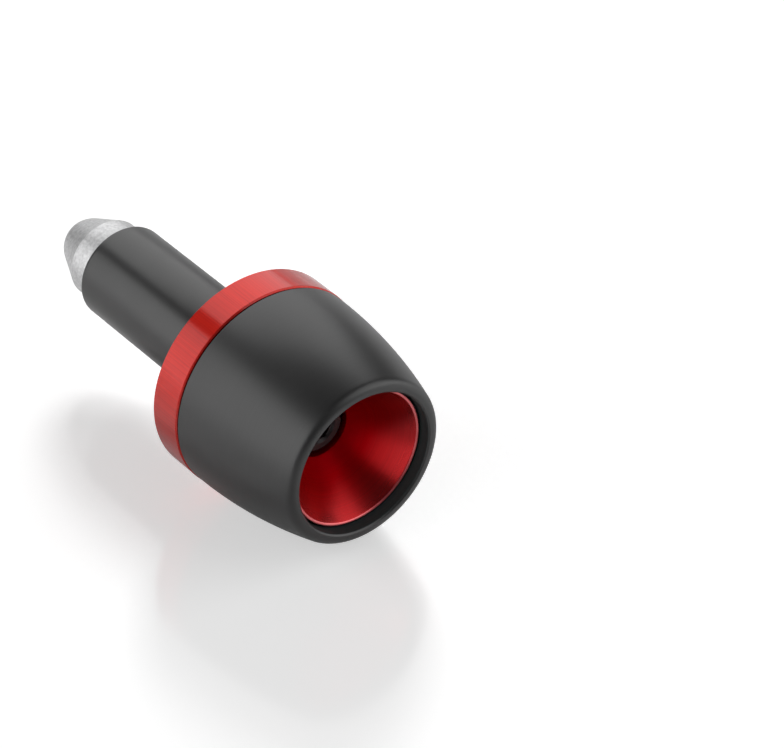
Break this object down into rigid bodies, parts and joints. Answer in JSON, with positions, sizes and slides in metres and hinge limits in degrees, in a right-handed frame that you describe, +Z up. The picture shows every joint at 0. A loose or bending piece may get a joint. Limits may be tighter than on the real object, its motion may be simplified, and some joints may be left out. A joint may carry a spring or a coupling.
{
  "type": "bar end weight",
  "caption": "Handlebar end weight: turned barrel with a funnel mouth and a collar ring, held in the bar by a screw-tightened expanding plug.",
  "frame": {"origin": "centre of the collar ring's back face, where the plug leaves it; this face seats on the end of the handlebar", "axes": "+X along the axis, out of the bar towards the mouth of the weight; +Z up; the piece is the same all round X"},
  "size_m": [0.0823, 0.038, 0.038],
  "materials": {
    "red_anodised": "fine turned, satin red anodised",
    "black_anodised": "satin black anodised",
    "blackened_steel": "black oxide, lightly oiled",
    "black_rubber": "smooth moulded, satin",
    "bare_aluminium": "raw, tumbled"
  },
  "bodies": {
    "body": {"collar_ring": "red_anodised", "barrel_weight": "black_anodised", "funnel_insert": "red_anodised", "expander_sleeve": "black_rubber"},
    "screw": {"clamp_screw": "blackened_steel"},
    "nut": {"cone_nut": "bare_aluminium"}
  },
  "joints": [
    {"name": "screw_turn", "type": "hinge", "parent": "body", "child": "screw", "pos_m": [0.0144, 0, 0], "axis": [-1, 0, 0], "range_deg": [0, 1440]},
    {"name": "nut_draw", "type": "slide", "parent": "body", "child": "nut", "axis": [1, 0, 0], "range_m": [0, 0.004], "deforming": ["expander_sleeve"]}
  ],
  "couplings": [
    {"joint": "nut_draw", "follows": "screw_turn", "m_per_rad": 0.00015915}
  ]
}
